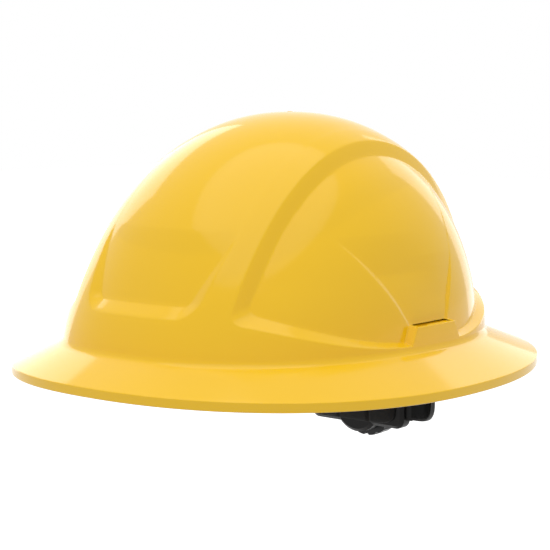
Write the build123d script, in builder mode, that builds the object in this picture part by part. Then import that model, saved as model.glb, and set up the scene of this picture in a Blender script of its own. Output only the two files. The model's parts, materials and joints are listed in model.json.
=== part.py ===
from build123d import *
from math import copysign, cos, pi, radians, sin
import os

os.makedirs("parts", exist_ok=True)

# A full brim hard hat: the front looks along -Y, the wearer's left is +X, and
# the origin lies in the plane of the brim's lower edge, at the head opening.

# Clearances
seat_gap = 0.3  # between pieces that sit against each other
slide_gap = 0.2  # each side of a tongue or rack in its channel
bore_gap = 0.05  # round a pin or shaft
overrun = 5.0  # how far a cutter passes the face that it leaves

# Brim
rim_half_width = 136.0
rim_front = 155.0
rim_rear = 163.0
rim_lip = 5.3
rim_lip_wall = 3.0
rim_round_share = 2.36
brim_wall = 3.2
foot_round = 4.0

# Crown
dome_half_width = 109.0
dome_front = 129.3
dome_rear = 127.1
foot_height = 19.6
dome_height = 147.3
apex_back = 10.7
shell_wall = 2.6
foot_round_share = 2.22
side_rise_share = 2.25
side_fall_share = 2.11
front_rise_share = 1.27
front_fall_share = 2.16
rear_rise_share = 2.12
rear_fall_share = 2.11
level_shares = (0, 0.13, 0.27, 0.41, 0.54, 0.66, 0.77, 0.86, 0.93, 0.975, 0.995)
oval_count = 32

# Recessed panels
panel_depth = 4.5
panel_bevel = 1.8
panel_corner = 2.5
side_panel_reach = 57.5
side_panel_foot = 23.0
side_panel_front = -62.0
side_panel_front_foot = 26.5
side_panel_slope_front = 48.5
side_panel_rear = 75.0
side_panel_rear_foot = 28.5
side_panel_slope_rear = 54.5
tab_height = 32.5
tab_middle = 5.0
tab_half_width = 18.0
tab_foot_half_width = 22.0
brow_panel_foot = 41.0
brow_panel_half_width = 39.7
brow_panel_top = 90.0
brow_panel_top_half_width = 46.0
brow_corner = 9.0
front_setback = 10.0
front_lift = 14.0
rear_setback = 4.0
rear_lift = 8.0

# Accessory slots at the sides
slot_width = 31.0
slot_gap = 4.4
slot_outer = 106.6
slot_floor = 12.0
slot_facet_top = 60.0
slot_facet_flare = 9.0
slot_wall = 2.6

# Suspension keys and their sockets
front_key_angle = 54.0
front_key_axis = -35.0
rear_key_angle = 131.0
rear_key_axis = 22.0
key_width = 26.0
key_wall = 3.0
key_top = 34.0
key_knee = 12.0
key_tongue_inset = 3.6
socket_wall = 2.4
socket_foot = 15.0
leg_foot = 2.0
leg_top = 22.0
leg_wall = 2.4
stud_height = 10.0
stud_radius = 2.2
stud_head_radius = 3.4
stud_head = 1.2

# Crown straps and pad
strap_width = 19.0
strap_wall = 1.3
strap_inset = 6.0
crown_height = 108.0
strap_rest = 1.1
strap_tail = 5.0
strap_fold = 3.6
pad_radius = 33.0
pad_gap = 0.6
pad_wall = 5.0

# Headband
band_half_width = 74.0
band_half_length = 92.0
band_forward = 9.0
band_wall = 1.6
band_foot = -6.0
band_top = 26.0
band_tail = 74.0
band_tail_foot = 3.0
band_tail_top = 23.0
band_waist = -20.0
sweat_wall = 4.0
sweat_rear = -24.0
sweat_margin = 2.0

# Nape pivots at the sides of the headband
pivot_back = 15.0
pivot_height = 8.0
pivot_face = 76.0
boss_radius = 9.5
eye_radius = 9.0
arm_wall = 2.4
pivot_radius = 3.0
pivot_head_radius = 5.5
pivot_head = 1.5
pivot_flange_face = 69.9

# Nape arms
arm_bend_back = 24.0
arm_end_reach = 40.5
arm_end_back = 80.0
arm_height = 12.0
arm_drop_back = 62.0
arm_drop_foot = -25.0
arm_drop_top = -10.0

# Ratchet
ratchet_height = -36.0
case_half_width = 36.0
case_wall = 2.0
case_screw_depth = 2.4
case_half_height = 12.0
case_corner = 6.0
case_front = 75.5
case_split = 81.4
case_lobe_radius = 17.6
case_edge = 1.0
case_front_edge = 2.0
cover_wall = 3.4
rack_wall = 2.4
pitch_radius = 5.0
tooth_height = 0.8
tooth_root = 1.05
tooth_gap = 0.15
pinion_count = 10
tooth_tip_half = 0.38
tooth_root_half = 0.8
rack_back = 3.5
rack_tail = 33.0
rack_root_gap = 0.4
spindle_radius = 2.6
spindle_flat = 1.9
boss_wall = 1.2
case_screw_reach = 22.0
case_screw_radius = 1.3
case_screw_head_radius = 2.4
case_screw_head = 1.2
pad_half_width = 31.0
pad_half_height = 10.0
pad_thickness = 4.0
pad_corner = 6.0

# Knob and its click ring
ring_inner = 14.0
ring_outer = 16.4
ring_height = 2.2
click_depth = 0.7
click_count = 30
spring_wall = 1.2
spring_hub = 8.5
spring_arm_count = 3
spring_arm_width = 3.0
spring_reach = 13.6
knob_radius = 21.5
knob_width = 9.6
knob_groove = 2.3
knob_groove_count = 16
knob_dish_radius = 15.5
knob_dish = 1.6
knob_edge = 1.2
knob_grip_half = 1.6
screw_radius = 1.2
screw_head_radius = 3.0
screw_head = 1.3


def oval(half_width, front, rear, middle, round_share):
    """Points of a closed oval whose front and rear halves reach differently from its middle."""
    points = []
    for step in range(oval_count):
        turn = 2 * pi * step / oval_count
        across = copysign(abs(sin(turn)) ** (2 / round_share), sin(turn))
        along = copysign(abs(cos(turn)) ** (2 / round_share), cos(turn))
        reach = front + middle if along > 0 else rear - middle
        points.append((half_width * across, middle - reach * along))
    return points


def rim_oval(inset):
    return oval(
        rim_half_width - inset, rim_front - inset, rim_rear - inset, 0, rim_round_share
    )


def dome_oval(level, inset):
    """The crown's outline at a share of its height."""
    side = (1 - level**side_rise_share) ** (1 / side_fall_share)
    front = (1 - level**front_rise_share) ** (1 / front_fall_share)
    rear = (1 - level**rear_rise_share) ** (1 / rear_fall_share)
    round_share = 2 + (foot_round_share - 2) * (1 - level)
    return oval(
        (dome_half_width - inset) * side,
        (dome_front + apex_back - inset) * front - apex_back,
        (dome_rear - apex_back - inset) * rear + apex_back,
        apex_back,
        round_share,
    )


domes = {}


def domed_solid(inset):
    """The crown as a solid, drawn in by inset all round and kept for the next call."""
    if inset in domes:
        return domes[inset]
    rise = dome_height - inset - foot_height
    with BuildPart() as solid:
        for level in level_shares:
            with BuildSketch(Plane.XY.offset(foot_height + rise * level)):
                with BuildLine():
                    Spline(*dome_oval(level, inset), periodic=True)
                make_face()
        loft()
    domes[inset] = solid.part
    return solid.part


def side_panel_solid(grow):
    """Everything outboard of the side panel's outline, grown by the wall for the inside."""
    tab_front = tab_middle - tab_half_width
    tab_rear = tab_middle + tab_half_width
    far = dome_front + overrun
    with BuildPart() as solid:
        with BuildSketch(Plane.YZ.offset(side_panel_reach - grow)):
            with BuildLine():
                Polyline(
                    (-far, side_panel_slope_front),
                    (side_panel_front, side_panel_front_foot),
                    (tab_middle - tab_foot_half_width, side_panel_foot),
                    (tab_front, tab_height),
                    (tab_rear, tab_height),
                    (tab_middle + tab_foot_half_width, side_panel_foot),
                    (side_panel_rear, side_panel_rear_foot),
                    (far, side_panel_slope_rear),
                    (far, dome_height + overrun),
                    (-far, dome_height + overrun),
                    close=True,
                )
            make_face()
            sharp = vertices().filter_by_position(Axis.X, side_panel_front, side_panel_rear)
            low = sharp.filter_by_position(Axis.Y, 0, tab_height + panel_corner)
            fillet(low, panel_corner)
            if grow > 0:
                offset(amount=grow, kind=Kind.INTERSECTION)
        extrude(amount=dome_half_width)
        add(domed_solid(panel_depth + grow), mode=Mode.SUBTRACT)
    return solid.part


def end_panel_solid(grow, side, setback, lift):
    """The recess at the front (side -1) or rear (side 1): its floor is the crown, shifted."""
    with BuildPart() as solid:
        with BuildSketch(Plane.XZ.offset(-side * dome_half_width / 2)):
            with BuildLine():
                Polyline(
                    (-brow_panel_half_width, brow_panel_foot),
                    (brow_panel_half_width, brow_panel_foot),
                    (brow_panel_top_half_width, brow_panel_top),
                    (-brow_panel_top_half_width, brow_panel_top),
                    close=True,
                )
            make_face()
            fillet(vertices(), brow_corner)
            if grow > 0:
                offset(amount=grow, kind=Kind.INTERSECTION)
        extrude(amount=-side * dome_front)
        floor = domed_solid(grow).moved(Location((0, -side * setback, lift)))
        add(floor, mode=Mode.SUBTRACT)
    return solid.part


def reach_to(start, turn, half_width, front, rear, middle, round_share):
    """How far a level ray runs from (0, start) to an oval, at a turn from the front."""
    near, far = 0, front + rear
    for _ in range(40):
        trial = (near + far) / 2
        across = trial * abs(sin(turn))
        along = start - trial * cos(turn) - middle
        reach = front + middle if along < 0 else rear - middle
        size = (across / half_width) ** round_share + (abs(along) / reach) ** round_share
        near, far = (trial, far) if size < 1 else (near, trial)
    return (near + far) / 2


def key_plane(key):
    """A standing plane square to the shell's wall at a key: x runs outward, y up."""
    start, turn = key
    return Plane(
        origin=(0, start, 0),
        x_dir=(sin(turn), -cos(turn), 0),
        z_dir=(-cos(turn), -sin(turn), 0),
    )


def wall_reach(key):
    """From a key's axis to the shell's inner face at its foot."""
    return reach_to(
        *key,
        dome_half_width - shell_wall,
        dome_front - shell_wall,
        dome_rear - shell_wall,
        apex_back,
        foot_round_share,
    )


def band_reach(key):
    """From a key's axis to the headband's outer face."""
    half_length = band_half_length + band_wall
    return reach_to(
        *key,
        band_half_width + band_wall,
        half_length + band_forward,
        half_length - band_forward,
        -band_forward,
        2,
    )


keys = {
    "front_left": (front_key_axis, radians(front_key_angle)),
    "front_right": (front_key_axis, radians(-front_key_angle)),
    "rear_left": (rear_key_axis, radians(rear_key_angle)),
    "rear_right": (rear_key_axis, radians(-rear_key_angle)),
}

# The inside of the shell, with the sockets and slot housings left standing in it
with BuildPart() as cavity:
    with BuildSketch(Plane.XY.offset(-overrun)):
        with BuildLine():
            Spline(*rim_oval(rim_lip_wall), periodic=True)
        make_face()
    extrude(amount=overrun + rim_lip - brim_wall / 2)
    with BuildSketch(Plane.XY.offset(rim_lip - brim_wall / 2)):
        with BuildLine():
            Spline(*rim_oval(rim_lip_wall), periodic=True)
        make_face()
    with BuildSketch(Plane.XY.offset(foot_height - brim_wall / 2)):
        with BuildLine():
            Spline(*dome_oval(0, shell_wall), periodic=True)
        make_face()
    loft(ruled=True)
    with BuildSketch(Plane.XY.offset(foot_height - brim_wall)):
        with BuildLine():
            Spline(*dome_oval(0, shell_wall), periodic=True)
        make_face()
    extrude(amount=brim_wall)
    add(domed_solid(shell_wall))
    side_bump = side_panel_solid(shell_wall)
    add(side_bump, mode=Mode.SUBTRACT)
    add(side_bump.mirror(Plane.YZ), mode=Mode.SUBTRACT)
    add(end_panel_solid(shell_wall, -1, front_setback, front_lift), mode=Mode.SUBTRACT)
    add(end_panel_solid(shell_wall, 1, rear_setback, rear_lift), mode=Mode.SUBTRACT)
    for key in keys.values():
        outer = wall_reach(key) + shell_wall / 2
        tongue = wall_reach(key) - key_tongue_inset - key_wall / 2
        inner = tongue - key_wall / 2 - slide_gap - socket_wall
        with BuildSketch(key_plane(key)):
            with Locations(((outer + inner) / 2, (socket_foot + key_top) / 2)):
                Rectangle(outer - inner, key_top - socket_foot + 2 * socket_wall)
        extrude(
            amount=key_width / 2 + slide_gap + socket_wall, both=True, mode=Mode.SUBTRACT
        )
        with BuildSketch(key_plane(key)):
            with Locations((tongue, (socket_foot + key_top) / 2 - socket_wall)):
                Rectangle(
                    key_wall + 2 * slide_gap,
                    key_top - socket_foot + 2 * socket_wall + 2 * slide_gap,
                )
        extrude(amount=key_width / 2 + slide_gap, both=True)
    for side in (-1, 1):
        with BuildSketch(Plane.YZ.offset(side * (slot_outer - slot_gap - slot_wall))):
            with Locations((tab_middle, (slot_floor + slot_facet_top) / 2)):
                Rectangle(
                    slot_width + 2 * slot_facet_flare + 2 * slot_wall,
                    slot_facet_top - slot_floor + 2 * slot_wall,
                )
        extrude(amount=side * (slot_gap + 2 * slot_wall), mode=Mode.SUBTRACT)

# The crown with its front and rear recesses, then the brim that carries it
with BuildPart() as crown:
    add(domed_solid(0))
    add(end_panel_solid(0, -1, front_setback, front_lift), mode=Mode.SUBTRACT)
    add(end_panel_solid(0, 1, rear_setback, rear_lift), mode=Mode.SUBTRACT)

with BuildPart() as shell:
    with BuildSketch():
        with BuildLine():
            Spline(*rim_oval(0), periodic=True)
        make_face()
    extrude(amount=rim_lip)
    with BuildSketch(Plane.XY.offset(rim_lip)):
        with BuildLine():
            Spline(*rim_oval(0), periodic=True)
        make_face()
    with BuildSketch(Plane.XY.offset(foot_height)):
        with BuildLine():
            Spline(*dome_oval(0, 0), periodic=True)
        make_face()
    loft(ruled=True)
    add(crown.part)
    foot_edge = edges().filter_by_position(Axis.Z, foot_height, foot_height)
    fillet(foot_edge, foot_round)
    crown_face = domed_solid(0).faces().sort_by(SortBy.AREA)[-1]
    side_recess = side_panel_solid(0)
    for recess in (side_recess, side_recess.mirror(Plane.YZ)):
        add(recess, mode=Mode.SUBTRACT)
        rims = edges(Select.LAST).filter_by(
            lambda edge: crown_face.distance_to(edge @ 0.5) < bore_gap
        )
        chamfer(rims, length=panel_bevel)
    add(cavity.part, mode=Mode.SUBTRACT)
    for side in (-1, 1):
        slot_start = side * (slot_outer - slot_gap)
        with BuildSketch(Plane.YZ.offset(slot_start)):
            with Locations((tab_middle, (slot_floor + slot_facet_top) / 2)):
                Rectangle(slot_width, slot_facet_top - slot_floor)
        extrude(amount=side * slot_gap, mode=Mode.SUBTRACT)
        with BuildSketch(Plane.YZ.offset(slot_start)):
            with BuildLine():
                Polyline(
                    (tab_middle - slot_width / 2, tab_height),
                    (tab_middle + slot_width / 2, tab_height),
                    (tab_middle + slot_width / 2 + slot_facet_flare, slot_facet_top),
                    (tab_middle - slot_width / 2 - slot_facet_flare, slot_facet_top),
                    close=True,
                )
            make_face()
        extrude(amount=side * slot_gap, mode=Mode.SUBTRACT)

shell.part.label = "shell"
export_step(shell.part, "parts/shell.step")

# Where the crown straps come down through the keys, and the planes that they lie in
strap_feet = {}
for name, key in keys.items():
    foot_reach = wall_reach(key) - key_tongue_inset - key_wall - strap_inset
    strap_feet[name] = key_plane(key).from_local_coords((foot_reach, 0, 0))
strap_ends = {
    "crown_strap_under": ("front_left", "rear_right"),
    "crown_strap_over": ("front_right", "rear_left"),
}
strap_planes = {}
for strap_name, (front, rear) in strap_ends.items():
    along = (strap_feet[front] - strap_feet[rear]).normalized()
    strap_planes[strap_name] = Plane(
        origin=(strap_feet[front] + strap_feet[rear]) / 2,
        x_dir=along,
        z_dir=along.cross(Vector(0, 0, 1)),
    )
half_span = (strap_feet["front_left"] - strap_feet["rear_right"]).length / 2
pad_back = (strap_feet["front_left"].Y + strap_feet["rear_right"].Y) / 2

# Suspension keys: a tongue in the shell's socket, a bridge and a leg on the headband
for name, key in keys.items():
    plane = key_plane(key)
    strap_name = next(strap for strap, ends in strap_ends.items() if name in ends)
    tongue_out = wall_reach(key) - key_tongue_inset
    tongue_in = tongue_out - key_wall
    leg_in = band_reach(key) + seat_gap
    leg_out = leg_in + leg_wall
    with BuildPart() as hanger:
        with BuildSketch(plane):
            with BuildLine():
                Polyline(
                    (leg_in - leg_wall, leg_foot),
                    (leg_out, leg_foot),
                    (tongue_in, key_knee - key_wall),
                    (tongue_out, key_knee - key_wall),
                    (tongue_out, key_top - seat_gap),
                    (tongue_in, key_top - seat_gap),
                    (tongue_in, key_knee),
                    (leg_out, leg_foot + key_wall),
                    (leg_out, leg_top),
                    (leg_in - leg_wall, leg_top),
                    close=True,
                )
            make_face()
        extrude(amount=key_width / 2, both=True)
        tips = edges().filter_by(Axis((0, 0, 0), plane.x_dir)).group_by(Axis.Z)
        fillet(tips[-1] + tips[-2], key_wall)
        with BuildSketch(Plane.XY.offset(-overrun)):
            with Locations((0, -band_forward)):
                Ellipse(
                    band_half_width + band_wall + seat_gap,
                    band_half_length + band_wall + seat_gap,
                )
        extrude(amount=key_top, mode=Mode.SUBTRACT)
        with BuildSketch(
            Plane(origin=strap_feet[name], x_dir=strap_planes[strap_name].x_dir)
        ):
            Rectangle(strap_wall + 2 * slide_gap, strap_width + 2 * slide_gap)
        extrude(amount=key_top, mode=Mode.SUBTRACT)
        stud_spot = plane.from_local_coords((leg_in - leg_wall, stud_height, 0))
        with BuildSketch(Plane(origin=stud_spot, z_dir=plane.x_dir)):
            Circle(stud_radius + bore_gap)
        extrude(amount=3 * leg_wall, mode=Mode.SUBTRACT)
    hanger.part.label = f"key_{name}"
    export_step(hanger.part, f"parts/key_{name}.step")

# Rivets that hold the keys' legs on the headband, a group of four
with BuildPart() as key_studs:
    for key in keys.values():
        plane = key_plane(key)
        inner_face = band_reach(key) - band_wall - seat_gap
        outer_face = band_reach(key) + seat_gap + leg_wall + slide_gap
        spot = plane.from_local_coords((inner_face - stud_head, stud_height, 0))
        axis = Plane(origin=spot, z_dir=plane.x_dir)
        with BuildSketch(axis):
            Circle(stud_head_radius)
        extrude(amount=stud_head)
        with BuildSketch(axis):
            Circle(stud_radius)
        extrude(amount=outer_face - inner_face + 2 * stud_head)
        with BuildSketch(axis.offset(outer_face - inner_face + stud_head)):
            Circle(stud_head_radius)
        extrude(amount=stud_head)
key_studs.part.label = "key_studs"
export_step(key_studs.part, "parts/key_studs.step")

# Crown straps: two webbings that cross over the head, one lying on the other
for layer, (name, plane) in enumerate(strap_planes.items()):
    rise = crown_height + layer * (strap_wall + strap_rest) - key_knee
    fold_foot = leg_foot - strap_tail
    with BuildPart() as strap:
        with BuildSketch(plane):
            with Locations((0, key_knee)):
                Ellipse(half_span + strap_wall / 2, rise + strap_wall)
                Ellipse(half_span - strap_wall / 2, rise, mode=Mode.SUBTRACT)
            with Locations((0, key_knee - dome_height / 2)):
                Rectangle(rim_front + rim_rear, dome_height, mode=Mode.SUBTRACT)
            for end in (-half_span, half_span):
                with Locations((end, (key_knee + fold_foot) / 2)):
                    Rectangle(strap_wall, key_knee - fold_foot)
                with Locations((end, fold_foot)):
                    Rectangle(strap_fold, strap_fold)
        extrude(amount=strap_width / 2, both=True)
    strap.part.label = name
    export_step(strap.part, f"parts/{name}.step")

# Crown pad: a domed cushion under the crossing
strap_bend = (half_span - strap_wall) ** 2 / (crown_height - key_knee)
pad_top = crown_height - pad_gap
with BuildPart() as crown_pad:
    with Locations((0, pad_back, pad_top - strap_bend)):
        Sphere(strap_bend)
        Sphere(strap_bend - pad_wall, mode=Mode.SUBTRACT)
    with BuildSketch(Plane.XY.offset(pad_top)):
        with Locations((0, pad_back)):
            Circle(pad_radius)
    extrude(amount=-pad_radius, mode=Mode.INTERSECT)
crown_pad.part.label = "crown_pad"
export_step(crown_pad.part, "parts/crown_pad.step")

# Headband: an oval hoop, open at the back, with a boss for each nape pivot
band_outer_width = band_half_width + band_wall
band_outer_length = band_half_length + band_wall
with BuildPart() as headband:
    with BuildSketch(Plane.XY.offset(band_foot)):
        with Locations((0, -band_forward)):
            Ellipse(band_outer_width, band_outer_length)
    extrude(amount=band_top - band_foot)
    with BuildSketch(Plane.YZ):
        with BuildLine():
            Polyline(
                (-dome_front, band_foot),
                (band_waist, band_foot),
                (band_tail, band_tail_foot),
                (band_tail, band_tail_top),
                (band_waist, band_top),
                (-dome_front, band_top),
                close=True,
            )
        make_face()
    extrude(amount=dome_half_width, both=True, mode=Mode.INTERSECT)
    with BuildSketch(Plane.YZ.offset(-pivot_face)):
        with Locations((pivot_back, pivot_height)):
            Circle(boss_radius)
    extrude(amount=2 * pivot_face)
    with BuildSketch(Plane.XY.offset(band_foot - overrun)):
        with Locations((0, -band_forward)):
            Ellipse(band_half_width, band_half_length)
    extrude(amount=band_top - band_foot + 2 * overrun, mode=Mode.SUBTRACT)
    with BuildSketch(Plane.YZ.offset(-pivot_face)):
        with Locations((pivot_back, pivot_height)):
            Circle(pivot_radius + bore_gap)
    extrude(amount=2 * pivot_face, mode=Mode.SUBTRACT)
    for key in keys.values():
        plane = key_plane(key)
        spot = plane.from_local_coords((band_reach(key) - 2 * band_wall, stud_height, 0))
        with BuildSketch(Plane(origin=spot, z_dir=plane.x_dir)):
            Circle(stud_radius + bore_gap)
        extrude(amount=3 * band_wall, mode=Mode.SUBTRACT)
headband.part.label = "headband"
export_step(headband.part, "parts/headband.step")

# Brow sweatband: a padded liner inside the front of the headband
with BuildPart() as brow_sweatband:
    with BuildSketch(Plane.XY.offset(band_foot - sweat_margin)):
        with Locations((0, -band_forward)):
            Ellipse(band_half_width - seat_gap, band_half_length - seat_gap)
            Ellipse(
                band_half_width - seat_gap - sweat_wall,
                band_half_length - seat_gap - sweat_wall,
                mode=Mode.SUBTRACT,
            )
        with Locations((0, sweat_rear + dome_front)):
            Rectangle(2 * dome_half_width, 2 * dome_front, mode=Mode.SUBTRACT)
    extrude(amount=band_top - band_foot + 2 * sweat_margin)
    for name in ("front_left", "front_right"):
        plane = key_plane(keys[name])
        depth = seat_gap + stud_head + 2 * seat_gap
        outer_face = band_reach(keys[name]) - band_wall
        spot = plane.from_local_coords((outer_face - depth, stud_height, 0))
        with BuildSketch(Plane(origin=spot, z_dir=plane.x_dir)):
            Circle(stud_head_radius + 2 * seat_gap)
        extrude(amount=depth + overrun, mode=Mode.SUBTRACT)
brow_sweatband.part.label = "brow_sweatband"
export_step(brow_sweatband.part, "parts/brow_sweatband.step")

# Nape arms, their racks and pivot studs, one set for each side
arm_inner = pivot_face + seat_gap
arm_outer = arm_inner + arm_wall
arm_middle = (arm_inner + arm_outer) / 2
for side, name in ((1, "left"), (-1, "right")):
    with BuildPart() as arm:
        with BuildSketch(Plane.XY.offset(ratchet_height - arm_height)):
            with BuildLine():
                width = arm_middle - arm_end_reach
                length = arm_end_back - arm_bend_back
                front = pivot_back - eye_radius
                Line((side * arm_inner, front), (side * arm_outer, front))
                Line((side * arm_outer, front), (side * arm_outer, arm_bend_back))
                Spline(
                    (side * arm_outer, arm_bend_back),
                    (
                        side * (arm_end_reach + (width + arm_wall / 2) * cos(pi / 4)),
                        arm_bend_back + (length + arm_wall / 2) * sin(pi / 4),
                    ),
                    (side * arm_end_reach, arm_end_back + arm_wall / 2),
                    tangents=((0, 1), (-side, 0)),
                )
                Line(
                    (side * arm_end_reach, arm_end_back + arm_wall / 2),
                    (side * arm_end_reach, arm_end_back - arm_wall / 2),
                )
                Spline(
                    (side * arm_end_reach, arm_end_back - arm_wall / 2),
                    (
                        side * (arm_end_reach + (width - arm_wall / 2) * cos(pi / 4)),
                        arm_bend_back + (length - arm_wall / 2) * sin(pi / 4),
                    ),
                    (side * arm_inner, arm_bend_back),
                    tangents=((side, 0), (0, -1)),
                )
                Line((side * arm_inner, arm_bend_back), (side * arm_inner, front))
            make_face()
        extrude(amount=pivot_height + eye_radius - ratchet_height + arm_height)
        with BuildSketch(Plane.YZ):
            with BuildLine():
                drop_foot = ratchet_height - arm_height / 2
                drop_top = ratchet_height + arm_height / 2
                back = arm_end_back + arm_wall
                Spline(
                    (pivot_back - eye_radius / 2, pivot_height - eye_radius),
                    (arm_drop_back, arm_drop_foot),
                    (back, drop_foot),
                    tangents=((1, 0), (1, 0)),
                )
                Line((back, drop_foot), (back, drop_top))
                Spline(
                    (back, drop_top),
                    (arm_drop_back, arm_drop_top),
                    (pivot_back + eye_radius / 2, pivot_height + eye_radius),
                    tangents=((-1, 0), (-1, 0)),
                )
                Line(
                    (pivot_back + eye_radius / 2, pivot_height + eye_radius),
                    (pivot_back - eye_radius / 2, pivot_height - eye_radius),
                )
            make_face()
            with Locations((pivot_back, pivot_height)):
                Circle(eye_radius)
        extrude(amount=arm_outer, both=True, mode=Mode.INTERSECT)
        with BuildSketch(Plane.YZ.offset(side * (arm_inner - overrun))):
            with Locations((pivot_back, pivot_height)):
                Circle(pivot_radius + bore_gap)
        extrude(amount=side * (arm_wall + 2 * overrun), mode=Mode.SUBTRACT)
    arm.part.label = f"nape_arm_{name}"
    export_step(arm.part, f"parts/nape_arm_{name}.step")

    with BuildPart() as pivot:
        with BuildSketch(
            Plane.YZ.offset(side * (pivot_flange_face - pivot_head))
        ):
            with Locations((pivot_back, pivot_height)):
                Circle(pivot_head_radius)
        extrude(amount=side * pivot_head)
        with BuildSketch(Plane.YZ.offset(side * (pivot_flange_face - pivot_head))):
            with Locations((pivot_back, pivot_height)):
                Circle(pivot_radius)
        extrude(amount=side * (arm_outer + seat_gap + 2 * pivot_head - pivot_flange_face))
        with BuildSketch(Plane.YZ.offset(side * (arm_outer + seat_gap))):
            with Locations((pivot_back, pivot_height)):
                Circle(pivot_head_radius)
        extrude(amount=side * pivot_head)
        fillet(faces().filter_by(Axis.X).sort_by(SortBy.DISTANCE)[-1].edges(), pivot_head / 2)
    pivot.part.label = f"pivot_stud_{name}"
    export_step(pivot.part, f"parts/pivot_stud_{name}.step")

    # The rack's back runs beside the pinion: above it for the left arm, below it for the right
    tooth_pitch = 2 * pi * pitch_radius / pinion_count
    root = pitch_radius + tooth_root
    tip = pitch_radius - tooth_height
    mouth = case_half_width + rack_root_gap
    with BuildPart() as rack:
        with BuildSketch(Plane.XZ.offset(-arm_end_back)):
            with Locations(
                (side * (mouth - rack_tail) / 2, ratchet_height + side * (root + rack_back / 2))
            ):
                Rectangle(mouth + rack_tail, rack_back)
            with Locations(
                (
                    side * (mouth + arm_end_reach) / 2,
                    ratchet_height + side * (root + rack_back - arm_height / 2) / 2,
                )
            ):
                Rectangle(arm_end_reach - mouth, root + rack_back + arm_height / 2)
            first = int(-(rack_tail - tooth_pitch) / tooth_pitch)
            last = int((case_half_width - case_wall) / tooth_pitch)
            for tooth in range(first, last):
                place = side * (tooth + 0.5) * tooth_pitch
                with BuildLine():
                    Polyline(
                        (place - tooth_root_half, ratchet_height + side * (root + bore_gap)),
                        (place + tooth_root_half, ratchet_height + side * (root + bore_gap)),
                        (place + tooth_tip_half, ratchet_height + side * tip),
                        (place - tooth_tip_half, ratchet_height + side * tip),
                        close=True,
                    )
                make_face()
        extrude(amount=rack_wall / 2, both=True)
    rack.part.label = f"rack_{name}"
    export_step(rack.part, f"parts/rack_{name}.step")

# Ratchet case: the half on the head's side carries the racks, the cover closes it
case_floor = arm_end_back - rack_wall / 2 - slide_gap
cover_face = case_split + cover_wall
mouth_low = pitch_radius - tooth_height - slide_gap
mouth_high = pitch_radius + tooth_root + rack_back + slide_gap


def behind(distance):
    """A plane square to the knob's axis, centred on it, that looks back along +Y."""
    return Plane(origin=(0, distance, ratchet_height), x_dir=(1, 0, 0), z_dir=(0, 1, 0))


def case_outline():
    """The ratchet case seen from behind: a bar with a round middle under the knob."""
    with BuildSketch() as outline:
        RectangleRounded(2 * case_half_width, 2 * case_half_height, case_corner)
        Circle(case_lobe_radius)
    return outline.sketch


def spindle_section(grow):
    """The spindle's round section with its flat."""
    with BuildSketch() as section:
        Circle(spindle_radius + grow)
        with Locations((0, spindle_flat + grow + spindle_radius)):
            Rectangle(4 * spindle_radius, 2 * spindle_radius, mode=Mode.SUBTRACT)
    return section.sketch


with BuildPart() as inner_case:
    with BuildSketch(behind(case_front)):
        add(case_outline())
    extrude(amount=case_split - case_front)
    outer_edges = faces().sort_by(Axis.Y)[0].outer_wire().edges()
    chamfer(outer_edges, length=case_front_edge)
    with BuildSketch(behind(case_floor)):
        Rectangle(2 * (case_half_width - case_wall), 2 * mouth_high)
        with Locations((-case_screw_reach, 0), (case_screw_reach, 0)):
            Circle(case_screw_radius + boss_wall, mode=Mode.SUBTRACT)
    extrude(amount=case_split - case_floor, mode=Mode.SUBTRACT)
    with BuildSketch(behind(case_floor)):
        for side in (-1, 1):
            with Locations((side * case_half_width, -side * (mouth_low + mouth_high) / 2)):
                Rectangle(4 * case_wall, mouth_high - mouth_low)
    extrude(amount=case_split - case_floor, mode=Mode.SUBTRACT)
    with BuildSketch(behind(case_front)):
        with Locations((-case_screw_reach, 0), (case_screw_reach, 0)):
            Circle(case_screw_radius + bore_gap)
        Circle(screw_head_radius + slide_gap)
    extrude(amount=case_split - case_front, mode=Mode.SUBTRACT)
    with BuildSketch(behind(case_front)):
        with Locations((-case_screw_reach, 0), (case_screw_reach, 0)):
            Circle(case_screw_head_radius + bore_gap)
    extrude(amount=case_screw_head + slide_gap, mode=Mode.SUBTRACT)
inner_case.part.label = "ratchet_inner_case"
export_step(inner_case.part, "parts/ratchet_inner_case.step")

with BuildPart() as outer_cover:
    with BuildSketch(behind(case_split)):
        add(case_outline())
    extrude(amount=cover_wall)
    cover_rim = faces().sort_by(Axis.Y)[-1].outer_wire().edges()
    chamfer(cover_rim, length=case_edge)
    with BuildSketch(behind(cover_face)):
        Circle(ring_outer)
        Circle(ring_inner + click_depth, mode=Mode.SUBTRACT)
        with PolarLocations(ring_inner + click_depth, click_count):
            RegularPolygon(click_depth, 3, rotation=180)
    extrude(amount=ring_height)
    with BuildSketch(behind(case_split)):
        Circle(spindle_radius + bore_gap)
    extrude(amount=cover_wall, mode=Mode.SUBTRACT)
    with BuildSketch(behind(case_split)):
        with Locations((-case_screw_reach, 0), (case_screw_reach, 0)):
            Circle(case_screw_radius + bore_gap)
    extrude(amount=case_screw_depth, mode=Mode.SUBTRACT)
outer_cover.part.label = "ratchet_outer_cover"
export_step(outer_cover.part, "parts/ratchet_outer_cover.step")

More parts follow.
